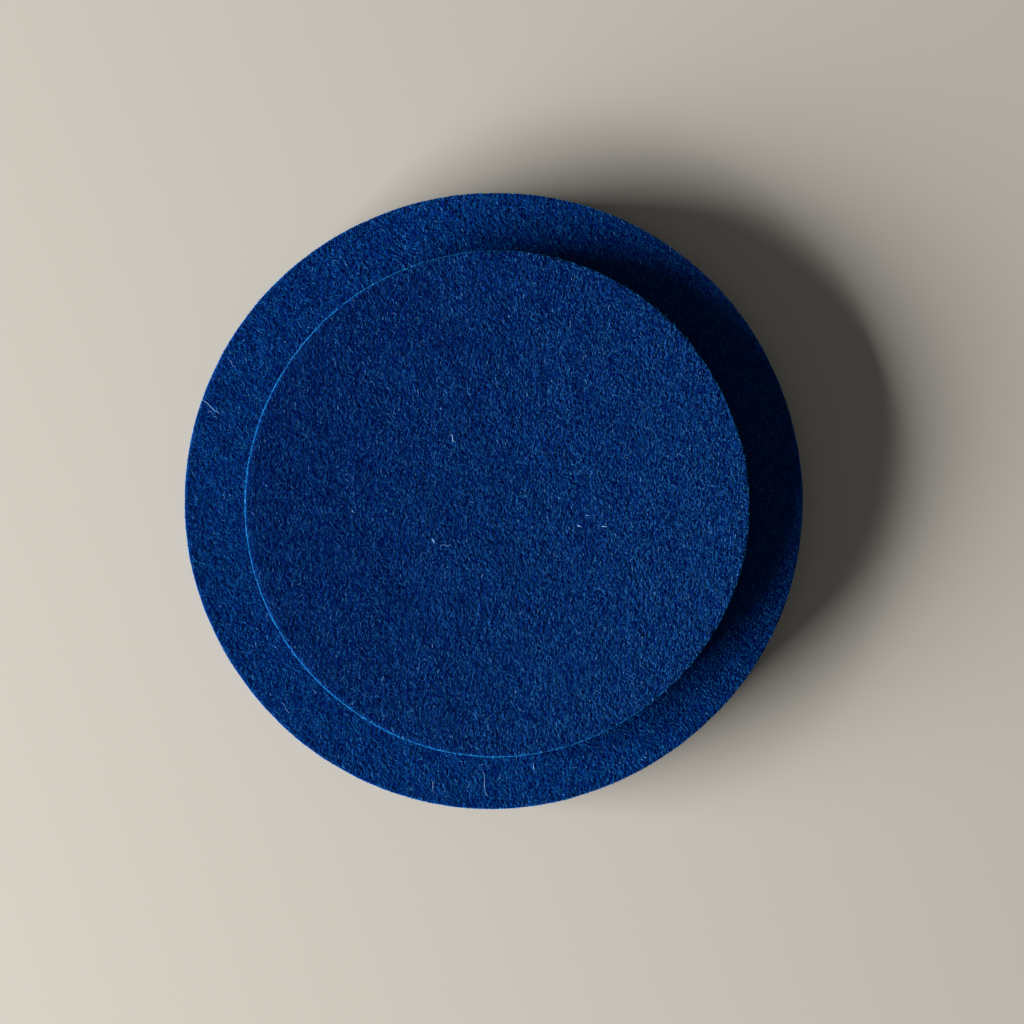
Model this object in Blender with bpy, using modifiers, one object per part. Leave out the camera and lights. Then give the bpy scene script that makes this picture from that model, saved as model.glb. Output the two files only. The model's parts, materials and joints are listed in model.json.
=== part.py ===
"""Felt trivet: a small round of wool felt laid loose on a larger, thicker round.

Metres, +Z up. The origin is the middle of the large round's underside, where it lies on the table.
Both rounds are blade-cut from sheet felt. The blade rolls the edge over on the face where it goes in,
leaves the other edge crisp, and draws the cut wall in a little at mid height.
"""

import math

import bpy

# Sheet felt and the two rounds cut from it
LARGE_DIAMETER = 0.250
LARGE_THICKNESS = 0.010
SMALL_DIAMETER = 0.202
SMALL_THICKNESS = 0.005

# The small round lies a little off the large round's middle
SMALL_OFFSET_X = 0.0014
SMALL_OFFSET_Y = -0.0014
RESTING_GAP = 0.0003

# Cut edges. The large round lies with the blade's entry face down, the small one with it up
LARGE_TOP_ROLL = 0.0007
LARGE_BOTTOM_ROLL = 0.0016
LARGE_WAIST = 0.0005
SMALL_TOP_ROLL = 0.0009
SMALL_BOTTOM_ROLL = 0.0006
SMALL_WAIST = 0.0003

# Facets
TURN_STEPS = 120
ROLL_STEPS = 5
WALL_STEPS = 4
AXIS_MERGE = 0.00001

# Finish
NAVY_BLUE = (0.0024, 0.026, 0.122, 1.0)
FELT_ROUGHNESS = 0.95

COLLECTION_NAME = "felt_trivet"


def clear_scene():
    for existing in list(bpy.data.objects):
        bpy.data.objects.remove(existing, do_unlink=True)


def part_collection():
    collection = bpy.data.collections.new(COLLECTION_NAME)
    bpy.context.scene.collection.children.link(collection)
    return collection


def felt_material(name):
    material = bpy.data.materials.new(name)
    material.use_nodes = True
    shader = material.node_tree.nodes["Principled BSDF"]
    shader.inputs["Base Color"].default_value = NAVY_BLUE
    shader.inputs["Roughness"].default_value = FELT_ROUGHNESS
    shader.inputs["Metallic"].default_value = 0.0
    return material


def quarter_arc(centre_x, centre_z, radius, start_angle):
    """Points of a quarter circle turning downwards from start_angle."""
    points = []
    for step in range(ROLL_STEPS + 1):
        angle = start_angle - math.pi / 2 * step / ROLL_STEPS
        points.append((centre_x + radius * math.cos(angle), centre_z + radius * math.sin(angle)))
    return points


def cut_round_profile(diameter, thickness, top_roll, bottom_roll, waist):
    """Half section of a round, from the middle of its top face round its edge to that of its underside."""
    radius = diameter / 2
    profile = [(0.0, thickness)]
    profile += quarter_arc(radius - top_roll, thickness - top_roll, top_roll, math.pi / 2)
    wall_height = thickness - top_roll - bottom_roll
    for step in range(1, WALL_STEPS):
        share = step / WALL_STEPS
        drawn_in = waist * math.sin(math.pi * share)
        profile.append((radius - drawn_in, thickness - top_roll - wall_height * share))
    profile += quarter_arc(radius - bottom_roll, bottom_roll, bottom_roll, 0.0)
    profile.append((0.0, 0.0))
    return profile


def turned_round(name, profile, collection):
    """A round of felt turned about its own Z axis, with its underside at its origin."""
    mesh = bpy.data.meshes.new(name)
    corners = [(x, 0.0, z) for x, z in profile]
    edges = [(index, index + 1) for index in range(len(corners) - 1)]
    mesh.from_pydata(corners, edges, [])
    disc = bpy.data.objects.new(name, mesh)
    collection.objects.link(disc)
    turn = disc.modifiers.new("turn", "SCREW")
    turn.axis = "Z"
    turn.angle = 2 * math.pi
    turn.steps = TURN_STEPS
    turn.render_steps = TURN_STEPS
    turn.use_merge_vertices = True
    turn.merge_threshold = AXIS_MERGE
    turn.use_smooth_shade = True
    flat_faces = disc.modifiers.new("flat_faces", "WEIGHTED_NORMAL")
    flat_faces.keep_sharp = True
    disc.data.materials.append(felt_material(name + "_felt"))
    return disc


def large_felt_disc(collection):
    profile = cut_round_profile(
        LARGE_DIAMETER, LARGE_THICKNESS, LARGE_TOP_ROLL, LARGE_BOTTOM_ROLL, LARGE_WAIST
    )
    return turned_round("large_felt_disc", profile, collection)


def small_felt_disc(collection):
    profile = cut_round_profile(
        SMALL_DIAMETER, SMALL_THICKNESS, SMALL_TOP_ROLL, SMALL_BOTTOM_ROLL, SMALL_WAIST
    )
    disc = turned_round("small_felt_disc", profile, collection)
    disc.location = (SMALL_OFFSET_X, SMALL_OFFSET_Y, LARGE_THICKNESS + RESTING_GAP)
    return disc


def main():
    clear_scene()
    collection = part_collection()
    table_point = bpy.data.objects.new("table_point", None)
    collection.objects.link(table_point)
    for disc in (large_felt_disc(collection), small_felt_disc(collection)):
        disc.parent = table_point


main()
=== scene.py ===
import json
import math

import bpy
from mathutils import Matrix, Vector

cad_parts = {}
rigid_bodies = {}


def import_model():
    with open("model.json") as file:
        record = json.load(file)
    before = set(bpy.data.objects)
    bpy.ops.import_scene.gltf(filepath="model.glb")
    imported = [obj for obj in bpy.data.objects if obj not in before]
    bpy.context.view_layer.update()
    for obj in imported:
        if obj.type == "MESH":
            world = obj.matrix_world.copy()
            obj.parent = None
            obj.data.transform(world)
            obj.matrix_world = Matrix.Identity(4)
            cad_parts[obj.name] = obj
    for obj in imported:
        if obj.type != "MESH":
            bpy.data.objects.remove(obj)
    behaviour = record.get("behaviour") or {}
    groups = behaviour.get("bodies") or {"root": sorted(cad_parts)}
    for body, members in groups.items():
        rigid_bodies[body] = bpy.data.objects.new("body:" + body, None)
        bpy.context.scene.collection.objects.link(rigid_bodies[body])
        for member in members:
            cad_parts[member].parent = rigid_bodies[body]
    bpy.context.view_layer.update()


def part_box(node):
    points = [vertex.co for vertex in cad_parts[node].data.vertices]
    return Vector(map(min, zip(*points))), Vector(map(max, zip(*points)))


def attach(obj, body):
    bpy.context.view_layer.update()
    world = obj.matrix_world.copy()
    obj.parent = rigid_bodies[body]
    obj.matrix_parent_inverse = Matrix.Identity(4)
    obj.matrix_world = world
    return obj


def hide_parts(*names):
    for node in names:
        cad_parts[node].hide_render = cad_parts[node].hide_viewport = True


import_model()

# Sizes, in metres
MM = 0.001

# The body of each felt disc lies just inside its outline, and the nap fills out the rest
NAP_DEPTH = 0.30 * MM
UNDERSIDE_LIFT = 0.25 * MM
ROLL_STEPS = 5
WALL_STEPS = 5

# Size and height of the lumps in the matted wool
UNEVENNESS = ((40 * MM, 0.30 * MM), (11 * MM, 0.25 * MM))

# The two discs. A wave in the outline has its count round the disc, its depth and its turn in degrees.
# A loose hair has its place from the disc's middle, its turn in degrees, and its length, bend and
# thickness, in millimetres.
DISCS = {
    "large_disc": {
        "node": "large_felt_disc", "slot": "large_disc_felt", "rests_on": (),
        "covered_by": "small_felt_disc", "grid": 120, "seed": 11,
        "top_roll": 0.4 * MM, "bottom_roll": 1.2 * MM, "waist": 0.5 * MM,
        "waves": ((2, 0.31 * MM, -46), (4, 0.17 * MM, 92), (5, 0.10 * MM, 115)),
        # The drift is painted shade: the large disc's nap is a little darker towards the top.
        "nap_angle": math.radians(124), "painted_shade_drift": (0.0, -0.3, 0.0),
        "hairs": (
            (-114.2, 37.9, -36, 10.8, 0.3, 0.08), (-113.5, 35.0, -8, 4.4, 1.0, 0.06),
            (-3.7, -113.9, -77, 11.7, 0.5, 0.05), (-3.3, -106.8, 10, 5.4, 0.6, 0.06),
            (-24.5, -115.3, -75, 6.7, 0.3, 0.06), (16.1, -107.6, -76, 4.6, 0.2, 0.07),
            (-84.0, -83.6, -49, 6.2, 0.4, 0.07), (-105.6, 55.2, -49, 3.4, 0.3, 0.08),
        ),
    },
    "small_disc": {
        "node": "small_felt_disc", "slot": "small_disc_felt", "rests_on": ("large_disc_body",),
        "covered_by": None, "grid": 100, "seed": 53,
        "top_roll": 0.6 * MM, "bottom_roll": 0.5 * MM, "waist": 0.3 * MM,
        "waves": ((2, 0.18 * MM, -154), (3, 0.15 * MM, 56), (4, 0.22 * MM, 22), (5, 0.11 * MM, 82)),
        # The drift is painted shade: the small disc's nap is lighter towards the right and bottom,
        # standing in for its lit flanks seen there.
        "nap_angle": math.radians(104), "painted_shade_drift": (0.9, -0.5, 0.0),
        "hairs": (
            (-17.7, 26.2, -25, 3.4, 1.1, 0.17), (-25.3, -14.7, -52, 2.6, 0.1, 0.16),
            (-20.4, -16.5, 12, 4.5, 0.5, 0.08), (36.4, -4.6, 2, 2.0, 0.1, 0.09),
            (33.0, -8.9, -15, 2.2, 0.1, 0.13), (42.8, -9.0, 0, 2.8, 0.1, 0.16),
        ),
    },
}

# How far inside the small disc's edge the felt under it counts as covered
COVER_MARGIN = 4 * MM
COVERED_SHARE = 0.2

# Shape of the wool strands
STRAND_SIDES = 3
STRAND_TAPER = 0.6
TIP_MERGE = 0.001 * MM
STRAND_SIZES = (0.7, 1.3)
NAP_FLATNESS = 0.65
HAIR_ARCH = 0.25 * MM
HAIR_LIFT = 0.1 * MM
HAIR_CUTS = 9

# How far felt looks up, 1 on the top face and 0 on the wall: the lowest of the top face, the highest of
# the wall and the lowest of the rim hairs
TOP_SLOPE = 0.9
WALL_SLOPE = 0.25
RIM_HAIR_SLOPE = 0.15

# How steeply the finish passes from the faces to the cut wall, which is darkened as painted shade
CUT_EDGE_POWER = 3

# Strands on each square metre of felt
NAP_LAYERS = 6
NAP_DENSITY = 0.56 / MM ** 2
WALL_DENSITY = 3.8 / MM ** 2
ROLL_DENSITY = 7.0 / MM ** 2
RIM_HAIR_DENSITY = 0.07 / MM ** 2

# How far strands stray from their lay, and the slow swirls in the nap
NAP_SPREAD = 0.5
WALL_SPREAD = 0.6
ROLL_SPREAD = 0.2
RIM_HAIR_SPREAD = 1.5
SWIRL_SCALE = 90.0
SWIRL_TURN = 0.9

# Shades of the strands, from 0, dark, to 1, pale
NAP_SHADES = (0.0, 1.0)
WALL_SHADES = (0.0, 1.0)
ROLL_SHADES = (0.2, 0.8)
RIM_HAIR_SHADES = (0.0, 0.9)
TOP_SHADE = 0.95
# A few strands are pale: pale fibres, and painted glints, as the wool is given no gloss.
PALE_AND_GLINT_SHARE = 0.012

# How much slow patches change the shades
PATCH_SCALE = 160.0
NAP_MOTTLE = 0.40
WALL_MOTTLE = 0.35
ROLL_MOTTLE = 0.3
RIM_HAIR_MOTTLE = 0.0

# Detail and roughness of the noise in the swirls, and in the patches and streaks of the wool
SWIRL_NOISE = (2.0, 0.5)
WOOL_NOISE = (3.0, 0.6)

# Seeds of each disc's pieces, after its own seed, and of a strand's draws, after its piece's seed
LAYER_SEED = 80
WALL_SEED = 500
ROLL_SEED = 550
RIM_HAIR_SEED = 600
LAY_DRAW = 1
SIZE_DRAW = 3
KIND_DRAW = 6
SHADE_DRAW = 7
ROW_DRAW = 8
PALE_AND_GLINT_DRAW = 9

# Keeps a draw of a kind of strand below the number of kinds
KIND_MARGIN = 0.01

# Each strand's patch of its piece's colour map
BAKE_COLUMNS = 0.97
BAKE_ROWS = (0.01, 0.97)
BAKE_PATCH = 0.02

# Numbered sockets of nodes that use one name for several
RANDOM_LOW = 2
RANDOM_HIGH = 3
RANDOM_SEED = 8
RANDOM_VALUE = 1
MIX_SHARE = 0
MIX_FIRST = 6
MIX_SECOND = 7
MIX_COLOUR = 2

# Blues of the strands, by their shades
SHADE_STOPS = (0.00, 0.50, 0.97, 1.00)
NAP_BLUES = {
    "large_disc": (
        (0.0001, 0.0042, 0.119), (0.0009, 0.0276, 0.213), (0.0090, 0.1270, 0.372), (0.0680, 0.2250, 0.500),
    ),
    "small_disc": (
        (0.0001, 0.0040, 0.101), (0.0013, 0.0228, 0.179), (0.0155, 0.1165, 0.328), (0.0800, 0.2250, 0.465),
    ),
}
# The rolled rim's strands are paler than the nap: partly a paler cut edge, partly a painted highlight
# along the lit rim.
PALE_RIM_AND_HIGHLIGHT_BLUES = (
    (0.0025, 0.0910, 0.277), (0.0067, 0.1390, 0.386), (0.0168, 0.1970, 0.479), (0.0600, 0.2550, 0.550),
)
# The cut wall's strands are darker than the nap: painted shade, against the strong low side light on the
# wall.
WALL_PAINTED_SHADE_BLUES = (
    (0.0001, 0.0020, 0.024), (0.0006, 0.0110, 0.060), (0.0050, 0.0420, 0.140), (0.0250, 0.0800, 0.210),
)
HAIR_COLOUR = (0.34, 0.60, 0.92, 1)

# Blues of the matted wool under the strands, by its streaks
STREAK_STOPS = (0.30, 0.52, 0.72)
FACE_BLUES = ((0.0001, 0.003, 0.060), (0.0014, 0.021, 0.125), (0.0140, 0.085, 0.240))
# The cut wall's blues are painted shade: darker for the deep gaps between its strands and against the
# strong low side light
CUT_EDGE_PAINTED_SHADE_BLUES = ((0.0001, 0.002, 0.018), (0.0003, 0.005, 0.032), (0.0008, 0.011, 0.052))
PRESSED_BLUES = ((0.0002, 0.005, 0.085), (0.0020, 0.036, 0.185), (0.0180, 0.120, 0.360))
STREAK_SCALE = (2050, 950, 1500)
STREAK_BUMP = 0.7
STREAK_DEPTH = 0.4 * MM
WOOL_ROUGHNESS = 0.95

# Camera, straight above the discs
LENS_ANGLE = math.radians(53.0)
CAMERA_PLACE = (7.4 * MM, -4.6 * MM, 424.7 * MM)

# Side light, low and wide, from the left, and a dim fill
LIGHT_AZIMUTH = math.radians(200.0)
LIGHT_DISTANCE = 3.2
LIGHT_WIDTH = 3.0
LIGHT_HEIGHT = 0.56
LIGHT_FOOT = 0.19
LIGHT_POWER = 945.0
LIGHT_COLOUR = (1.0, 0.98, 0.95)
FILL_STRENGTH = 0.11
FILL_COLOUR = (1.0, 0.98, 0.96, 1)

# Pale floor, and how far from the discs it passes into the background
FLOOR_SIZE = 40
FLOOR_COLOUR = (0.45, 0.43, 0.39, 1)
BACKGROUND = (0.52, 0.50, 0.46, 1)
FLOOR_CLEAR = 0.32
FLOOR_FAR = 0.80


# Small helpers

def select_only(thing=None):
    bpy.ops.object.select_all(action="DESELECT")
    if thing:
        bpy.context.view_layer.objects.active = thing
        thing.select_set(True)


def add_node(tree, kind, inputs=(), **settings):
    """A node whose inputs are given as values or as the outputs of other nodes."""
    made = tree.nodes.new(kind)
    for name, value in settings.items():
        setattr(made, name, value)
    for name, value in dict(inputs).items():
        if isinstance(value, bpy.types.NodeSocket):
            tree.links.new(value, made.inputs[name])
        else:
            made.inputs[name].default_value = value
    return made


def maths(tree, operation, *values):
    return add_node(tree, "ShaderNodeMath", enumerate(values), operation=operation).outputs[0]


def vector_maths(tree, operation, *values):
    made = add_node(tree, "ShaderNodeVectorMath", enumerate(values), operation=operation)
    return made.outputs["Vector"]


def vector_size(tree, operation, *values):
    """A number worked out from vectors, such as a distance."""
    made = add_node(tree, "ShaderNodeVectorMath", enumerate(values), operation=operation)
    return made.outputs["Value"]


def vector(tree, x, y, z):
    return add_node(tree, "ShaderNodeCombineXYZ", {"X": x, "Y": y, "Z": z}).outputs["Vector"]


def noise(tree, place, scale, detail, roughness):
    """Smooth noise about 0.5, over the given places."""
    inputs = {"Vector": place, "Scale": scale, "Detail": detail, "Roughness": roughness}
    return add_node(tree, "ShaderNodeTexNoise", inputs).outputs[0]


def colour_ramp(tree, share, stops, colours):
    ramp = add_node(tree, "ShaderNodeValToRGB", {"Fac": share})
    elements = ramp.color_ramp.elements
    while len(elements) < len(stops):
        elements.new(1.0)
    for element, stop, colour in zip(elements, stops, colours):
        element.position = stop
        element.color = (*colour, 1.0)
    return ramp.outputs["Color"]


def mix_marked(tree, mark, plain, marked):
    """One colour passing into another where the felt is marked."""
    share = add_node(tree, "ShaderNodeAttribute", attribute_name=mark).outputs["Fac"]
    inputs = {MIX_SHARE: share, MIX_FIRST: plain, MIX_SECOND: marked}
    return add_node(tree, "ShaderNodeMix", inputs, data_type="RGBA").outputs[MIX_COLOUR]


def new_material(name):
    material = bpy.data.materials.new(name)
    material.use_nodes = True
    tree = material.node_tree
    shader = tree.nodes["Principled BSDF"]
    shader.inputs["Roughness"].default_value = WOOL_ROUGHNESS
    shader.inputs["Specular IOR Level"].default_value = 0.0
    return material, tree, shader


# Felt disc bodies

def quarter_turn(middle_radius, middle_z, roll, start):
    rings = []
    for step in range(ROLL_STEPS + 1):
        angle = start - math.pi / 2 * step / ROLL_STEPS
        rings.append((middle_radius + roll * math.cos(angle), middle_z + roll * math.sin(angle)))
    return rings


def cut_edge_rings(radius, bottom, top, top_roll, bottom_roll, waist):
    """Radius and height of each ring of a blade-cut edge, from the top face down to the underside."""
    rings = quarter_turn(radius - top_roll, top - top_roll, top_roll, math.pi / 2)
    wall = top - top_roll - bottom - bottom_roll
    for step in range(1, WALL_STEPS):
        share = step / WALL_STEPS
        rings.append((radius - waist * math.sin(math.pi * share), top - top_roll - wall * share))
    return rings + quarter_turn(radius - bottom_roll, bottom + bottom_roll, bottom_roll, 0.0)


def felt_body(name, disc):
    """A closed disc of felt: rings bridged round its cut edge, the first and last filled as its faces."""
    low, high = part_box(disc["node"])
    middle = (low + high) / 2
    radius = (high.x - low.x) / 2
    rings = cut_edge_rings(
        radius - NAP_DEPTH, low.z + UNDERSIDE_LIFT, high.z - NAP_DEPTH,
        disc["top_roll"], disc["bottom_roll"], disc["waist"],
    )
    select_only()
    for number, (ring_radius, ring_z) in enumerate(rings):
        bpy.ops.mesh.primitive_circle_add(
            vertices=4 * disc["grid"], radius=ring_radius, fill_type="NOTHING",
            location=(middle.x, middle.y, ring_z), enter_editmode=number == 0,
        )
        if number in (0, len(rings) - 1):
            bpy.ops.mesh.fill_grid(span=disc["grid"])
    bpy.ops.mesh.select_all(action="DESELECT")
    bpy.ops.mesh.select_non_manifold()
    bpy.ops.mesh.bridge_edge_loops()
    bpy.ops.mesh.select_all(action="SELECT")
    bpy.ops.mesh.normals_make_consistent(inside=False)
    bpy.ops.object.mode_set(mode="OBJECT")
    bpy.ops.object.transform_apply(location=True, rotation=True, scale=True)
    bpy.ops.object.shade_smooth()
    body = bpy.context.object
    body.name = name
    body.data.name = name
    wave_outline(body, middle, radius, disc["waves"])
    make_uneven(body)
    return body


def wave_outline(body, middle, radius, waves):
    """Moves the felt in and out a little, in slow waves round its outline."""
    for vertex in body.data.vertices:
        away = vertex.co - middle
        angle = math.atan2(away.y, away.x)
        moved = sum(depth * math.cos(count * angle + math.radians(turn)) for count, depth, turn in waves)
        vertex.co.x += away.x * moved / radius
        vertex.co.y += away.y * moved / radius


def make_uneven(body):
    """Swells and sinks the felt's surface, as matted wool does."""
    for size, height in UNEVENNESS:
        lumps = bpy.data.textures.new("felt_unevenness", "CLOUDS")
        lumps.noise_scale = size
        lumps.noise_depth = 1
        swell = body.modifiers.new("felt_unevenness", "DISPLACE")
        swell.texture = lumps
        swell.texture_coords = "LOCAL"
        swell.strength = height
        bpy.ops.object.modifier_apply(modifier="felt_unevenness")


def mark_felt(body, name, value_of):
    """Stores a number at each point of a disc's body, for its finish."""
    marks = body.data.attributes.new(name, "FLOAT", "POINT")
    for vertex, mark in zip(body.data.vertices, marks.data):
        mark.value = value_of(vertex)


def cut_share(vertex):
    """0 on a disc's flat faces, 1 on its cut wall."""
    return 1.0 - abs(vertex.normal.z) ** CUT_EDGE_POWER


def cover_round(disc):
    """Middle and radius of the round of felt that another disc lies on."""
    if disc["covered_by"] is None:
        return None
    low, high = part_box(disc["covered_by"])
    return (low + high) / 2, (high.x - low.x) / 2 - COVER_MARGIN


def covered(vertex, cover):
    """1 where another disc lies on the felt."""
    middle, radius = cover
    return float((vertex.co.xy - middle.xy).length < radius)


# Wool strands

def wool_strand(name, length, thickness, arch, sway, lift=0.0, cuts=1, flat=1.0):
    """A strand lying along X, its tapered ends sunk: flattened, arched, swaying, its far end lifted."""
    sunk = thickness / 3
    select_only()
    bpy.ops.mesh.primitive_cylinder_add(
        vertices=STRAND_SIDES, radius=thickness / 2, depth=length, end_fill_type="NOTHING",
        rotation=(math.pi / 2, 0, math.pi / 2),
    )
    strand = bpy.context.object
    bpy.ops.object.transform_apply(location=True, rotation=True, scale=True)
    bpy.ops.object.mode_set(mode="EDIT")
    bpy.ops.mesh.select_mode(type="EDGE")
    bpy.ops.mesh.select_all(action="DESELECT")
    bpy.ops.object.mode_set(mode="OBJECT")
    for edge in strand.data.edges:
        start, end = (strand.data.vertices[index].co.x for index in edge.vertices)
        edge.select = abs(end - start) > length / 2
    bpy.ops.object.mode_set(mode="EDIT")
    bpy.ops.mesh.subdivide(number_cuts=cuts)
    bpy.ops.object.mode_set(mode="OBJECT")
    for vertex in strand.data.vertices:
        share = min(max(vertex.co.x / length + 0.5, 0.0), 1.0)
        swell = math.sin(math.pi * share) ** STRAND_TAPER
        vertex.co.y = vertex.co.y * swell + sway * math.sin(2 * math.pi * share)
        rise = arch * math.sin(math.pi * share) + lift * share ** 2
        vertex.co.z = (vertex.co.z * swell - sunk) * flat + rise
    bpy.ops.object.mode_set(mode="EDIT")
    bpy.ops.mesh.select_all(action="SELECT")
    bpy.ops.mesh.remove_doubles(threshold=TIP_MERGE)
    bpy.ops.mesh.normals_make_consistent(inside=False)
    bpy.ops.object.mode_set(mode="OBJECT")
    bpy.ops.object.shade_smooth()
    strand.name = name
    return strand


def strand_kinds(name, strands):
    kinds = bpy.data.collections.new(name)
    for strand in strands:
        kinds.objects.link(strand)
        bpy.context.scene.collection.objects.unlink(strand)
    return kinds


def clear_kinds(kinds):
    """Takes away the strands that the laid ones were copied from."""
    for strand in list(kinds.objects):
        bpy.data.objects.remove(strand)
    bpy.data.collections.remove(kinds)


def random_share(tree, low, high, seed):
    inputs = {RANDOM_LOW: low, RANDOM_HIGH: high, RANDOM_SEED: seed}
    return add_node(tree, "FunctionNodeRandomValue", inputs).outputs[RANDOM_VALUE]


def face_height(tree):
    """How far a face looks up: 1 on top, 0 on the wall, -1 below."""
    facing = add_node(tree, "GeometryNodeInputNormal").outputs["Normal"]
    return add_node(tree, "ShaderNodeSeparateXYZ", {0: facing}).outputs["Z"]


def top_density(tree, density, cover):
    """The nap's density on the top face, thinner where another disc covers it."""
    up = maths(tree, "GREATER_THAN", face_height(tree), TOP_SLOPE)
    full = maths(tree, "MULTIPLY", up, density)
    if cover is None:
        return full
    middle, radius = cover
    place = add_node(tree, "GeometryNodeInputPosition").outputs["Position"]
    level = vector_maths(tree, "MULTIPLY", place, (1, 1, 0))
    away = vector_size(tree, "DISTANCE", level, (middle.x, middle.y, 0))
    outside = maths(tree, "GREATER_THAN", away, radius)
    inputs = {"Value": outside, "To Min": COVERED_SHARE, "To Max": 1.0}
    share = add_node(tree, "ShaderNodeMapRange", inputs).outputs[0]
    return maths(tree, "MULTIPLY", full, share)


def edge_density(tree, density, lowest, highest):
    """A density on the part of the cut edge that looks up by the given heights."""
    height = face_height(tree)
    above = maths(tree, "MULTIPLY", maths(tree, "GREATER_THAN", height, lowest), density)
    return maths(tree, "MULTIPLY", maths(tree, "LESS_THAN", height, highest), above)


def nap_lay(tree, angle, seed):
    """The way a strand lies on the top face: along the nap, with scatter and slow swirls."""
    place = add_node(tree, "GeometryNodeInputPosition").outputs["Position"]
    slow = noise(tree, place, SWIRL_SCALE, *SWIRL_NOISE)
    swirl = maths(tree, "MULTIPLY_ADD", slow, SWIRL_TURN, angle - SWIRL_TURN / 2)
    first = random_share(tree, -NAP_SPREAD, NAP_SPREAD, seed)
    second = random_share(tree, -NAP_SPREAD, NAP_SPREAD, seed + 1)
    turn = maths(tree, "ADD", maths(tree, "ADD", first, second), swirl)
    return vector(tree, maths(tree, "COSINE", turn), maths(tree, "SINE", turn), 0.0)


def wall_lay(tree, facing, spread, seed):
    """The way a strand lies on the cut edge: nearly level, round the disc."""
    level = vector_maths(tree, "NORMALIZE", vector_maths(tree, "CROSS_PRODUCT", (0, 0, 1), facing))
    tilt = vector(tree, 0.0, 0.0, random_share(tree, -spread, spread, seed))
    return vector_maths(tree, "ADD", level, tilt)


def strand_shade(tree, seed, shades, mottle, painted_shade_drift):
    """A strand's shade: slow patches, a drift of painted shade, and a few pale fibres that are also
    painted glints.
    """
    place = add_node(tree, "GeometryNodeInputPosition").outputs["Position"]
    patches = maths(tree, "ADD", noise(tree, place, PATCH_SCALE, *WOOL_NOISE), -0.5)
    across = vector_size(tree, "DOT_PRODUCT", place, painted_shade_drift)
    painted_shade_drifted = maths(tree, "ADD", across, random_share(tree, *shades, seed + SHADE_DRAW))
    own = maths(tree, "MULTIPLY_ADD", patches, mottle, painted_shade_drifted)
    chance = random_share(tree, 0.0, 1.0, seed + PALE_AND_GLINT_DRAW)
    pale_and_glint = maths(tree, "GREATER_THAN", chance, 1.0 - PALE_AND_GLINT_SHARE)
    return maths(tree, "MAXIMUM", maths(tree, "MINIMUM", own, TOP_SHADE), pale_and_glint)


def store_number(tree, geometry, name, value, domain="INSTANCE", kind="FLOAT"):
    return add_node(
        tree, "GeometryNodeStoreNamedAttribute", {"Geometry": geometry, "Name": name, "Value": value},
        data_type=kind, domain=domain,
    ).outputs["Geometry"]


def bake_places(tree, geometry):
    """Gives each strand a small patch of its piece's colour map, at its own shade."""
    wrap = add_node(
        tree, "GeometryNodeInputNamedAttribute", {"Name": "UVMap"}, data_type="FLOAT_VECTOR"
    ).outputs[0]
    shade = add_node(tree, "GeometryNodeInputNamedAttribute", {"Name": "shade"}).outputs[0]
    row = add_node(tree, "GeometryNodeInputNamedAttribute", {"Name": "row"}).outputs[0]
    column = maths(tree, "MULTIPLY", shade, BAKE_COLUMNS)
    column.node.use_clamp = True
    corner = vector(tree, column, row, 0.0)
    patch = vector_maths(tree, "MULTIPLY_ADD", wrap, (BAKE_PATCH, BAKE_PATCH, 0.0), corner)
    placed = store_number(tree, geometry, "OFBake", patch, "CORNER", "FLOAT2")
    for name in ("UVMap", "row"):
        placed = add_node(
            tree, "GeometryNodeRemoveAttribute", {"Geometry": placed, "Name": name}
        ).outputs["Geometry"]
    return placed


def lay_strands(name, body, kinds, density_of, lay, seed, shades, mottle, painted_shade_drift=(0, 0, 0)):
    """A piece of strands laid on a disc's felt, each a copy of one of the kinds."""
    tree = bpy.data.node_groups.new(name, "GeometryNodeTree")
    tree.interface.new_socket("Geometry", in_out="OUTPUT", socket_type="NodeSocketGeometry")
    felt = add_node(tree, "GeometryNodeObjectInfo", {"Object": body}).outputs["Geometry"]
    points = add_node(
        tree, "GeometryNodeDistributePointsOnFaces",
        {"Mesh": felt, "Density": density_of(tree), "Seed": seed},
    )
    facing = points.outputs["Normal"]
    turn = add_node(
        tree, "FunctionNodeAxesToRotation",
        {"Primary Axis": facing, "Secondary Axis": lay(tree, facing, seed + LAY_DRAW)},
        primary_axis="Z", secondary_axis="X",
    )
    sizes = [random_share(tree, *STRAND_SIZES, seed + SIZE_DRAW + axis) for axis in range(3)]
    shapes = add_node(
        tree, "GeometryNodeCollectionInfo", {"Collection": kinds, "Separate Children": True}
    )
    last_kind = len(kinds.objects) - KIND_MARGIN
    copies = add_node(tree, "GeometryNodeInstanceOnPoints", {
        "Points": points.outputs["Points"],
        "Instance": shapes.outputs["Instances"],
        "Pick Instance": True,
        "Instance Index": random_share(tree, 0, last_kind, seed + KIND_DRAW),
        "Rotation": turn.outputs["Rotation"],
        "Scale": vector(tree, *sizes),
    }).outputs["Instances"]
    shaded = store_number(tree, copies, "shade", strand_shade(tree, seed, shades, mottle, painted_shade_drift))
    rows = store_number(tree, shaded, "row", random_share(tree, *BAKE_ROWS, seed + ROW_DRAW))
    joined = add_node(tree, "GeometryNodeRealizeInstances", {"Geometry": rows}).outputs["Geometry"]
    out = add_node(tree, "NodeGroupOutput", {"Geometry": bake_places(tree, joined)})
    out.is_active_output = True
    piece = bpy.data.objects.new(name, bpy.data.meshes.new(name))
    bpy.context.scene.collection.objects.link(piece)
    select_only(piece)
    piece.modifiers.new("laid_strands", "NODES").node_group = tree
    bpy.ops.object.modifier_apply(modifier="laid_strands")
    piece.data.materials.clear()
    return piece


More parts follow.
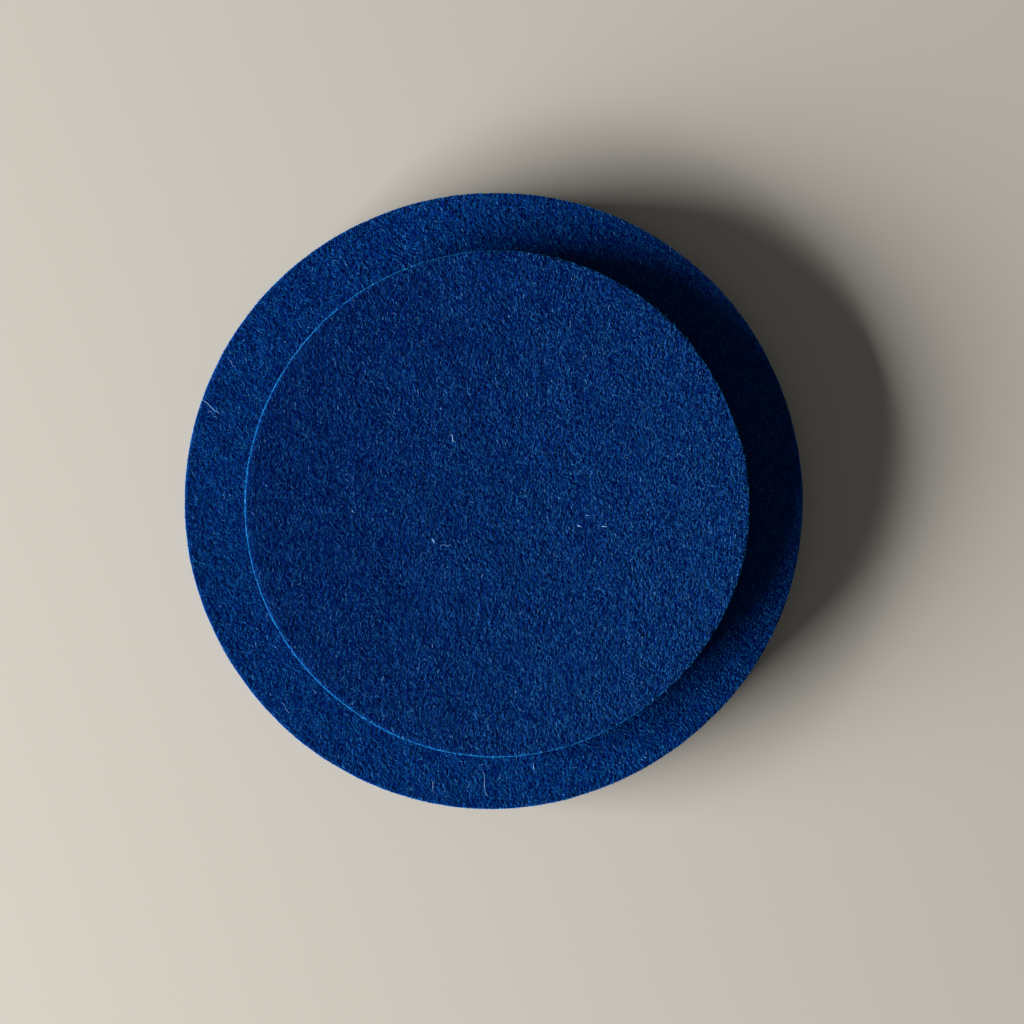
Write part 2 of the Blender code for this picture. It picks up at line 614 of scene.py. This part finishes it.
def loose_hairs(name, disc):
    """A few pale hairs lying loose on a disc."""
    low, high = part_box(disc["node"])
    middle = (low + high) / 2
    made = []
    for number, (x, y, turn, length, bend, thickness) in enumerate(disc["hairs"]):
        hair = wool_strand(
            f"{name}_{number}", length * MM, thickness * MM, HAIR_ARCH, bend * MM, cuts=HAIR_CUTS
        )
        hair.rotation_euler.z = math.radians(turn)
        hair.location = (middle.x + x * MM, middle.y + y * MM, high.z + HAIR_LIFT)
        made.append(hair)
    select_only(made[0])
    for hair in made:
        hair.select_set(True)
    bpy.ops.object.transform_apply(location=True, rotation=True, scale=True)
    bpy.ops.object.join()
    piece = bpy.context.object
    piece.name = name
    piece.data.name = name
    return piece


# Finishes

def pale_hair(name):
    material, _, shader = new_material(name)
    shader.inputs["Base Color"].default_value = HAIR_COLOUR
    return material


def navy_felt(name, nap_angle):
    """The matted wool under the nap, darker on the cut wall as painted shade, lighter where it is pressed
    flat.
    """
    material, tree, shader = new_material(name)
    place = add_node(tree, "ShaderNodeTexCoord").outputs["Object"]
    turned = add_node(
        tree, "ShaderNodeMapping",
        {"Vector": place, "Rotation": (0, 0, math.pi / 2 - nap_angle), "Scale": STREAK_SCALE},
    ).outputs["Vector"]
    streaks = noise(tree, turned, 1.0, *WOOL_NOISE)
    face = colour_ramp(tree, streaks, STREAK_STOPS, FACE_BLUES)
    cut_edge = colour_ramp(tree, streaks, STREAK_STOPS, CUT_EDGE_PAINTED_SHADE_BLUES)
    pressed = colour_ramp(tree, streaks, STREAK_STOPS, PRESSED_BLUES)
    blues = mix_marked(tree, "pressed", face, pressed)
    blues = mix_marked(tree, "cut_edge", blues, cut_edge)
    bump = add_node(
        tree, "ShaderNodeBump", {"Strength": STREAK_BUMP, "Distance": STREAK_DEPTH, "Height": streaks}
    )
    tree.links.new(blues, shader.inputs["Base Color"])
    tree.links.new(bump.outputs["Normal"], shader.inputs["Normal"])
    return material


def strand_wool(name, blues):
    """Wool strands, each coloured by its own shade."""
    material, tree, shader = new_material(name)
    shade = add_node(tree, "ShaderNodeAttribute", attribute_name="shade").outputs["Fac"]
    tree.links.new(colour_ramp(tree, shade, SHADE_STOPS, blues), shader.inputs["Base Color"])
    return material


# Stage

def seen_directly(tree):
    """1 for a ray from the camera, a mirror or glass, and 0 for a ray that lights something."""
    path = add_node(tree, "ShaderNodeLightPath").outputs
    looking = maths(tree, "ADD", path["Is Camera Ray"], path["Is Glossy Ray"])
    looking = maths(tree, "ADD", looking, path["Is Transmission Ray"])
    looking.node.use_clamp = True
    return looking


def floor():
    """A pale floor that passes into the background away from the discs."""
    select_only()
    bpy.ops.mesh.primitive_plane_add(size=FLOOR_SIZE)
    plane = bpy.context.object
    plane.name = "floor"
    material, tree, shader = new_material("pale_floor")
    shader.inputs["Base Color"].default_value = FLOOR_COLOUR
    place = add_node(tree, "ShaderNodeTexCoord").outputs["Object"]
    away = vector_size(tree, "LENGTH", place)
    far = add_node(
        tree, "ShaderNodeMapRange", {"Value": away, "From Min": FLOOR_CLEAR, "From Max": FLOOR_FAR},
        interpolation_type="SMOOTHSTEP",
    ).outputs[0]
    paper = add_node(tree, "ShaderNodeEmission", {"Color": BACKGROUND}).outputs["Emission"]
    share = maths(tree, "MULTIPLY", far, seen_directly(tree))
    mixed = add_node(tree, "ShaderNodeMixShader", {0: share, 1: shader.outputs["BSDF"], 2: paper})
    tree.links.new(mixed.outputs["Shader"], tree.nodes["Material Output"].inputs["Surface"])
    plane.data.materials.append(material)


def side_light():
    lamp = bpy.data.lights.new("side_light", "AREA")
    lamp.shape = "RECTANGLE"
    lamp.size = LIGHT_WIDTH
    lamp.size_y = LIGHT_HEIGHT
    lamp.energy = LIGHT_POWER
    lamp.color = LIGHT_COLOUR
    light = bpy.data.objects.new("side_light", lamp)
    bpy.context.scene.collection.objects.link(light)
    outward = Vector((math.cos(LIGHT_AZIMUTH), math.sin(LIGHT_AZIMUTH), 0))
    light.location = outward * LIGHT_DISTANCE
    light.location.z = LIGHT_FOOT + LIGHT_HEIGHT / 2
    light.rotation_euler = outward.to_track_quat("Z", "Y").to_euler()


def room_fill():
    """A dim even fill, seen as the pale background."""
    world = bpy.data.worlds.new("room_fill")
    world.use_nodes = True
    bpy.context.scene.world = world
    tree = world.node_tree
    fill = tree.nodes["Background"]
    fill.inputs["Color"].default_value = FILL_COLOUR
    fill.inputs["Strength"].default_value = FILL_STRENGTH
    paper = add_node(tree, "ShaderNodeBackground", {"Color": BACKGROUND, "Strength": 1.0}).outputs[0]
    seen = seen_directly(tree)
    mixed = add_node(tree, "ShaderNodeMixShader", {0: seen, 1: fill.outputs[0], 2: paper})
    tree.links.new(mixed.outputs["Shader"], tree.nodes["World Output"].inputs["Surface"])


def camera():
    lens = bpy.data.cameras.new("overhead_camera")
    lens.angle = LENS_ANGLE
    overhead = bpy.data.objects.new("overhead_camera", lens)
    overhead.location = CAMERA_PLACE
    bpy.context.scene.collection.objects.link(overhead)
    bpy.context.scene.camera = overhead


# Dressed discs

def nap_layer(name, disc, body, cover, layer):
    nap = lay_strands(
        f"{name}_nap_{layer + 1}", body, nap_kinds,
        lambda tree: top_density(tree, NAP_DENSITY, cover),
        lambda tree, facing, seed: nap_lay(tree, disc["nap_angle"], seed),
        disc["seed"] + LAYER_SEED * layer, NAP_SHADES, NAP_MOTTLE, disc["painted_shade_drift"],
    )
    nap.data.materials.append(nap_wools[name])
    return nap


def cut_wall(name, disc, body):
    wall = lay_strands(
        name + "_cut_wall", body, wall_kinds,
        lambda tree: edge_density(tree, WALL_DENSITY, -TOP_SLOPE, WALL_SLOPE),
        lambda tree, facing, seed: wall_lay(tree, facing, WALL_SPREAD, seed),
        disc["seed"] + WALL_SEED, WALL_SHADES, WALL_MOTTLE,
    )
    wall.data.materials.append(painted_shade_wall_wool)
    return wall


def rolled_rim(name, disc, body):
    roll = lay_strands(
        name + "_rolled_rim", body, wall_kinds,
        lambda tree: edge_density(tree, ROLL_DENSITY, WALL_SLOPE, TOP_SLOPE),
        lambda tree, facing, seed: wall_lay(tree, facing, ROLL_SPREAD, seed),
        disc["seed"] + ROLL_SEED, ROLL_SHADES, ROLL_MOTTLE,
    )
    roll.data.materials.append(pale_rim_and_highlight_wool)
    return roll


def rim_hairs(name, disc, body):
    rim = lay_strands(
        name + "_rim_hairs", body, rim_kinds,
        lambda tree: edge_density(tree, RIM_HAIR_DENSITY, RIM_HAIR_SLOPE, TOP_SLOPE),
        lambda tree, facing, seed: wall_lay(tree, facing, RIM_HAIR_SPREAD, seed),
        disc["seed"] + RIM_HAIR_SEED, RIM_HAIR_SHADES, RIM_HAIR_MOTTLE,
    )
    rim.data.materials.append(pale_rim_and_highlight_wool)
    return rim


def dressed_disc(name, disc):
    """One felt disc: its body, nap, cut wall, rolled rim and hairs."""
    cover = cover_round(disc)
    body = felt_body(name + "_body", disc)
    mark_felt(body, "cut_edge", cut_share)
    if cover:
        mark_felt(body, "pressed", lambda vertex: covered(vertex, cover))
    body.data.materials.append(navy_felt(name + "_felt", disc["nap_angle"]))
    strands = [nap_layer(name, disc, body, cover, layer) for layer in range(NAP_LAYERS)]
    strands += [cut_wall(name, disc, body), rolled_rim(name, disc, body), rim_hairs(name, disc, body)]
    hairs = loose_hairs(name + "_loose_hairs", disc)
    hairs.data.materials.append(lint)
    strands.append(hairs)
    for piece in [body] + strands:
        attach(piece, name)
    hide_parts(disc["node"])


floor()
side_light()
room_fill()
camera()
bpy.context.scene.view_settings.view_transform = "Standard"

nap_kinds = strand_kinds("nap_strands", [
    wool_strand("nap_low", 1.5 * MM, 0.17 * MM, 0.14 * MM, 0.0, flat=NAP_FLATNESS),
    wool_strand("nap_high", 1.3 * MM, 0.16 * MM, 0.26 * MM, 0.0, flat=NAP_FLATNESS),
    wool_strand("nap_long", 2.4 * MM, 0.15 * MM, 0.22 * MM, 0.19 * MM, cuts=2, flat=NAP_FLATNESS),
    wool_strand("nap_short", 1.0 * MM, 0.18 * MM, 0.23 * MM, 0.0, flat=NAP_FLATNESS),
    wool_strand(
        "nap_raised", 1.7 * MM, 0.14 * MM, 0.18 * MM, -0.14 * MM, lift=0.24 * MM, cuts=2, flat=NAP_FLATNESS
    ),
])
wall_kinds = strand_kinds("cut_wall_strands", [
    wool_strand("wall_low", 1.4 * MM, 0.18 * MM, 0.14 * MM, 0.0),
    wool_strand("wall_long", 2.2 * MM, 0.16 * MM, 0.17 * MM, 0.0),
    wool_strand("wall_short", 0.9 * MM, 0.18 * MM, 0.19 * MM, 0.0),
])
rim_kinds = strand_kinds("rim_hairs", [
    wool_strand("rim_loop", 1.7 * MM, 0.10 * MM, 0.70 * MM, 0.25 * MM, cuts=5),
    wool_strand("rim_end", 1.5 * MM, 0.10 * MM, 0.25 * MM, -0.20 * MM, lift=0.80 * MM, cuts=5),
])
nap_wools = {name: strand_wool(name + "_nap_wool", blues) for name, blues in NAP_BLUES.items()}
pale_rim_and_highlight_wool = strand_wool("navy_rim_and_highlight_wool", PALE_RIM_AND_HIGHLIGHT_BLUES)
painted_shade_wall_wool = strand_wool("navy_wall_wool_painted_shade", WALL_PAINTED_SHADE_BLUES)
lint = pale_hair("pale_loose_hair")

for name, disc in DISCS.items():
    dressed_disc(name, disc)
for kinds in (nap_kinds, wall_kinds, rim_kinds):
    clear_kinds(kinds)
